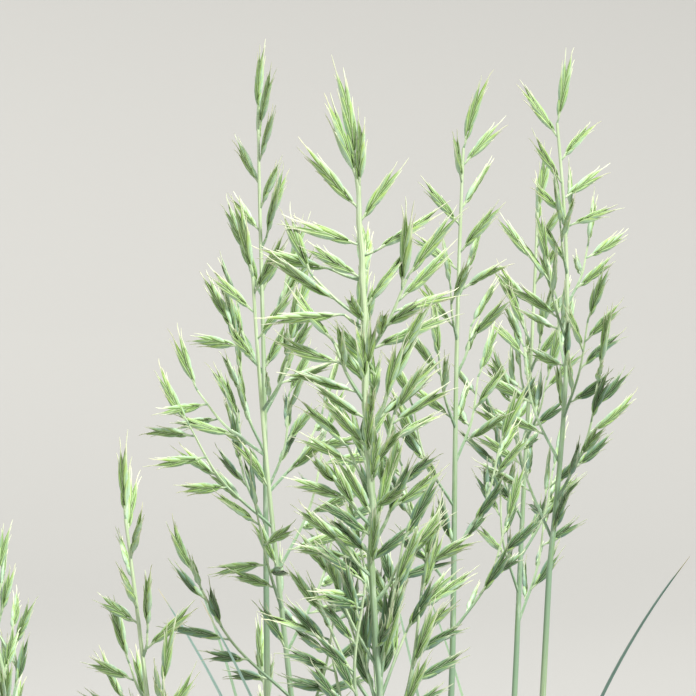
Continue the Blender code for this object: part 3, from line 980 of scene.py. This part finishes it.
def front_flower_head():
    """The front flower head, from the lists of its spikelets and twigs."""
    chance = np.random.default_rng(101)
    pile = Pile()
    foot, _ = head_ends(1)
    facing = np.array([0.0, -1.0, 0.0])
    heights = np.array([h for h, _ in FRONT_AXIS]) * MM
    shifts = np.array([s for _, s in FRONT_AXIS]) * MM
    depths = np.full(len(heights), foot[1])
    axis = curve(np.stack([foot[0] + shifts, depths, foot[2] + heights], axis=1), FRONT_AXIS_ROWS)
    level = (axis[:, 2] - foot[2]) / MM
    thick = np.interp(level, *FRONT_AXIS_RADII)
    joints = sorted([h for h, _ in FRONT_SINGLES] + [h for h, *_ in FRONT_TWIGS])
    for h in joints:
        thick += 0.07 * np.exp(-((level - h) / 0.8) ** 2)
    zigzag = np.interp(level, joints[::2], [0.10 * (-1) ** k for k in range(len(joints[::2]))])
    axis[:, 0] += zigzag * np.clip(level / 10, 0, 1) * MM
    stem(pile, axis, thick * MM, 12, chance, 0.09)

    def on_axis(height):
        at = foot[2] + height * MM
        return np.array([np.interp(at, axis[:, 2], axis[:, k]) for k in range(3)])

    def reach_of(across, up, front):
        return np.array([across, -front, up]) * MM

    for height, reach in FRONT_SINGLES:
        place_spikelet(pile, fine_spikelets, on_axis(height - 0.3), reach_of(*reach) * FRONT_BRISTLES,
                       facing, chance, 7, height / FRONT_LENGTH)
    for height, end, bow, spikelets in FRONT_TWIGS:
        start = on_axis(height)
        end = reach_of(*end)
        line = curve([start, start + end * 0.45 + reach_of(bow, 0, 0), start + end], FRONT_TWIG_ROWS)
        stem(pile, line, np.linspace(*FRONT_TWIG_RADII, FRONT_TWIG_ROWS), 8, chance, 0.08)
        for part, reach in spikelets:
            spot = line[round(part * (FRONT_TWIG_ROWS - 1))]
            place_spikelet(pile, fine_spikelets, spot, reach_of(*reach) * FRONT_BRISTLES,
                           facing, chance, 7, (spot - foot)[2] / MM / FRONT_LENGTH)
    for height, end, count in FRONT_FAR_TWIGS:
        start = on_axis(height)
        end = reach_of(*end)
        middle = start + end * 0.5 + np.array([0, 0, 0.4 * MM])
        line = curve([start, middle, start + end], FAR_TWIG_ROWS)
        stem(pile, line, np.linspace(*TWIG_RADII, FAR_TWIG_ROWS), 7, chance)
        for k in range(count):
            part = 1 - 0.8 * k / count
            out = end / np.linalg.norm(end)
            spread = [chance.normal(0, 0.55), chance.normal(0.1, 0.25) * np.sign(out[1]), 0.55]
            way = out * 0.75 + np.array(spread)
            reach = way / np.linalg.norm(way) * chance.uniform(8.8, 10.8) * MM
            spot = line[round(part * (FAR_TWIG_ROWS - 1))]
            place_spikelet(pile, near_spikelets, spot, reach, facing, chance, 5, height / FRONT_LENGTH)
    return pile.shape()


def side_flower_head(number, kinds, sides):
    """A flower head grown by rule: single spikelets above, spreading twigs below."""
    chance = np.random.default_rng(200 + number)
    pile = Pile()
    foot, tip = head_ends(number)
    lean_right, lean_up = HEAD_LEAN.get(number, (0.0, 0.0))
    tip = tip + np.array([lean_right, 0.0, lean_up]) * MM
    length = np.linalg.norm(tip - foot)
    ahead = (tip - foot) / length
    from_axis = packed_corners(f"panicle_{number:02d}") - foot
    from_axis -= (from_axis @ ahead)[:, None] * ahead
    radius = np.linalg.norm(from_axis, axis=1).max()
    openness = HEAD_OPENNESS.get(number, 0.9)
    one = np.cross([0.0, 1.0, 0.0], ahead)
    one /= np.linalg.norm(one)
    two = np.cross(ahead, one)
    phase = chance.uniform(0, 2 * math.pi)
    bare = length - 11.5 * MM
    along = np.linspace(0, 1, AXIS_ROWS)
    axis = foot + ahead * (along * bare)[:, None]
    sway = 0.5 * MM * (np.sin(along * 3.2 + phase) - math.sin(phase)) * along
    axis += one * (sway + HEAD_BOW.get(number, 0.0) * MM * np.sin(along * math.pi))[:, None]
    axis += two * (0.6 * MM * np.sin(along * 2.3) * along)[:, None]
    stem(pile, axis, np.linspace(CULM_END_RADIUS, AXIS_END_RADIUS, AXIS_ROWS), sides + 3, chance)
    reach = ahead * 12.0 * MM + one * chance.normal(0, 1.2) * MM
    place_spikelet(pile, kinds, axis[-1], reach, two, chance, sides, 1.0)

    def room(level):
        """Widest reach from the axis at a height."""
        widest = radius * max(1.0, openness)
        return widest * np.interp(level / length, [0.03, 0.10, 0.20, 0.36, 0.64, 0.80, 0.90, 1.0],
                                  [0.35, 0.7, 0.95, 1.05, 1.05, 0.88, 0.62, 0.25])

    def hang(spot, out, angle, reach_length):
        """A spikelet from a spot, leaning out from the axis by an angle, kept inside the room."""
        reach = (ahead * math.cos(angle) + out * math.sin(angle)) * reach_length
        off = spot + reach - foot
        level = off @ ahead
        off = off - level * ahead
        excess = np.linalg.norm(off) - room(level)
        if excess > 0:
            reach -= off / np.linalg.norm(off) * excess
            reach += ahead * excess * 0.4
        place_spikelet(pile, kinds, spot, reach, np.cross(ahead, out), chance, sides,
                       (spot - foot) @ ahead / bare)

    height = bare - 1.8 * MM
    turn_way = phase
    singles_share = 0.28 / max(1.0, openness) ** 2
    while height > 0.04 * length:
        below = (bare - height) / (bare * 0.96)
        here = axis[int(height / bare * (AXIS_ROWS - 1))]
        turn_way += math.pi + chance.normal(0, 0.5)
        out = one * math.cos(turn_way) + two * math.sin(turn_way)
        if below < singles_share:
            hang(here, out, math.radians(chance.uniform(22, 42) + 75 * below) * openness,
                 chance.uniform(8.6, 11.2) * MM)
            height -= chance.uniform(2.4, 3.8) * MM
            continue
        twig = (3 + 19 * ((below - singles_share) / (1 - singles_share)) ** 0.8) * chance.uniform(0.8, 1.1)
        twig = twig * max(1.0, openness) * MM
        lean = math.radians(chance.uniform(18, 30)) * openness
        end = here + (ahead * math.cos(lean) + out * math.sin(lean)) * twig
        line = curve([here, here * 0.5 + end * 0.5 + out * 0.09 * twig, end], TWIG_ROWS)
        stem(pile, line, np.linspace(*TWIG_RADII, TWIG_ROWS), sides, chance)
        beside = np.cross(ahead, out)
        hang(end, out * math.cos(0.3) + beside * chance.normal(0, 0.3),
             math.radians(chance.uniform(12, 34)), chance.uniform(9.4, 11.2) * MM)
        part = 1 - 2.2 * MM / twig
        side = 1 if chance.uniform() < 0.5 else -1
        while part > 0.12:
            side = -side
            spin = side * chance.uniform(0.35, 1.3)
            spot = line[round(part * (TWIG_ROWS - 1))]
            hang(spot, out * math.cos(spin) + beside * math.sin(spin),
                 math.radians(chance.uniform(34, 66)) * openness, chance.uniform(8.4, 10.8) * MM)
            part -= chance.uniform(2.3, 3.6) * MM / twig
        if chance.uniform() < 0.5:
            hang(here + ahead * 0.6 * MM, -out, math.radians(chance.uniform(10, 30)),
                 chance.uniform(8.0, 10.0) * MM)
        height -= chance.uniform(4.6, 7.0) * MM
    return pile.shape()


fescue_spikelet, shader, start = new_look("fescue_spikelet", 0.55)
flat = flat_map(start)
flat_u = flat.axis(0)
flat_v = flat.axis(1)
is_husk = flat_v.over(HUSK_LOW - 0.006, HUSK_LOW - 0.002)
column = (flat_u * FLORET_COLUMNS).floor()
band = (flat_v / BAND).floor()
# deep: 1 on the lowest spikelets, fading out above; it paints them bluer and darker, the darkness painted
# shade
deep = (1 - band * 0.5) ** 3
draw = (column + band * 17.0 + 2.0).lot()
other = (column + band * 13.0 + 90.0).lot()
from_back = abs((flat_u * FLORET_COLUMNS).part() - 0.5) * 2.0
up_floret = (flat_v / BAND).part()
up_husk = (flat_v - HUSK_LOW) * (1 / HUSK_BAND)
up = is_husk * up_husk + (1 - is_husk) * up_floret * 1.035
streak = start.noise(flat.stretched(170.0, 14.0), 1.0, 3.0, 0.6)
bloom = start.noise(flat.stretched(60.0, 45.0), 1.0, 4.0, 0.65)
# waxy blue-green back, fresher green down the sides and yellow-green towards the end
body = draw.blend(colour(150, 183, 154), colour(178, 208, 178))
body = (bloom.over(0.40, 0.70) * 0.6).blend(body, colour(204, 224, 196))
# the lower a spikelet stands in its head, the bluer its green and the darker it is, the darkness painted
# shade from the spikelets above
body = (deep * 0.7).blend(body, colour(96, 132, 122))
flank = deep.blend(other.blend(colour(98, 140, 36), colour(146, 184, 72)), colour(62, 102, 36))
side_green = from_back.over(0.18, 0.32)
body = (side_green * (0.66 + 0.1 * deep)).blend(body, flank)
nerve = from_back.over(0.30, 0.33) * (1 - from_back.over(0.37, 0.40)) * (0.3 + 0.6 * streak)
body = (nerve * (1 - 0.5 * deep)).blend(body, colour(208, 228, 172))
body = (streak.over(0.5, 0.8) * 0.35).blend(body, colour(96, 136, 56))
lime = up.over(0.22, 0.46) * (0.2 + 0.45 * other) * (1 - 0.5 * deep)
body = lime.blend(body, colour(158, 190, 76))
# painted shade: the lowest spikelets darkened further
body = (deep * 0.18).blend(body, colour(50, 84, 52))
# painted shade: the inner side of each floret, which its neighbours cover, is painted dark green
inner_side_shade = from_back.over(0.43, 0.47)
body = (inner_side_shade * 0.8).blend(body, deep.blend(colour(76, 110, 16), colour(36, 66, 14)))
# papery edge along both sides, a pale keel that is partly a painted highlight, and the pale bristle
edge = from_back.over(0.52, 0.56) * (1 - from_back.over(0.64, 0.70)) * up.over(0.02, 0.2)
body = (edge * (0.9 - 0.35 * deep)).blend(body, colour(222, 236, 200))
# pale keel along the back's ridge, partly a painted highlight
keel_highlight = (1 - from_back.over(0.03, 0.12)) * 0.5
body = keel_highlight.blend(body, deep.blend(colour(206, 226, 196), colour(160, 190, 172)))
straw = other.blend(colour(236, 242, 214), colour(226, 226, 194))
body = (up.over(0.42, 0.72) * (0.95 - 0.3 * deep)).blend(body, straw)
# painted shade: the foot of each floret and husk, where the one below covers it, is painted darker green
body = ((1 - up.over(0.0, 0.10)) * 0.4).blend(body, colour(112, 148, 78))
feed(shader, "Base Color", body)
feed(shader, "Roughness", 0.42 + 0.22 * streak)
relief = streak + nerve * 1.5 + edge
feed_relief(shader, relief, 0.5, 0.00008)

# twigs and axis: mint green and darker at the foot, the darkness partly painted shade from the spikelets
# around it, paler above, with fine darker lines
fescue_twig, shader, start = new_look("fescue_twig", 0.45)
flat = flat_map(start)
up_stem = (flat.axis(1) - STEM_LOW) * (1 / (STEM_HIGH - STEM_LOW))
line_noise = start.noise(flat.stretched(36.0, 120.0), 1.0, 3.0, 0.6)
patches = start.noise(flat.stretched(9.0, 260.0), 1.0, 3.0, 0.6)
twig = up_stem.over(0.1, 0.8).blend(colour(130, 158, 130), colour(194, 211, 174))
twig = (line_noise.over(0.46, 0.62) * 0.6).blend(twig, colour(124, 152, 96))
twig = (patches.over(0.50, 0.72) * 0.5).blend(twig, colour(204, 216, 198))
twig = (1 - up_stem.over(0.0, 0.04)).blend(twig, stem_tone)
feed(shader, "Base Color", twig)
feed(shader, "Roughness", 0.4 + 0.2 * patches)
feed_relief(shader, line_noise, 0.2, 0.0001)

NEAR_HEADS = (2, 3, 4, 5, 6)
for number in range(1, STALKS + 1):
    if number == 1:
        shape = front_flower_head()
    elif number in NEAR_HEADS:
        shape = side_flower_head(number, near_spikelets, 5)
    else:
        shape = side_flower_head(number, plain_spikelets, 5)
    piece = new_piece(f"flower_head_{number:02d}", shape, [fescue_spikelet, fescue_twig], sharp=55)
    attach(piece, "root")
    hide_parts(f"panicle_{number:02d}")
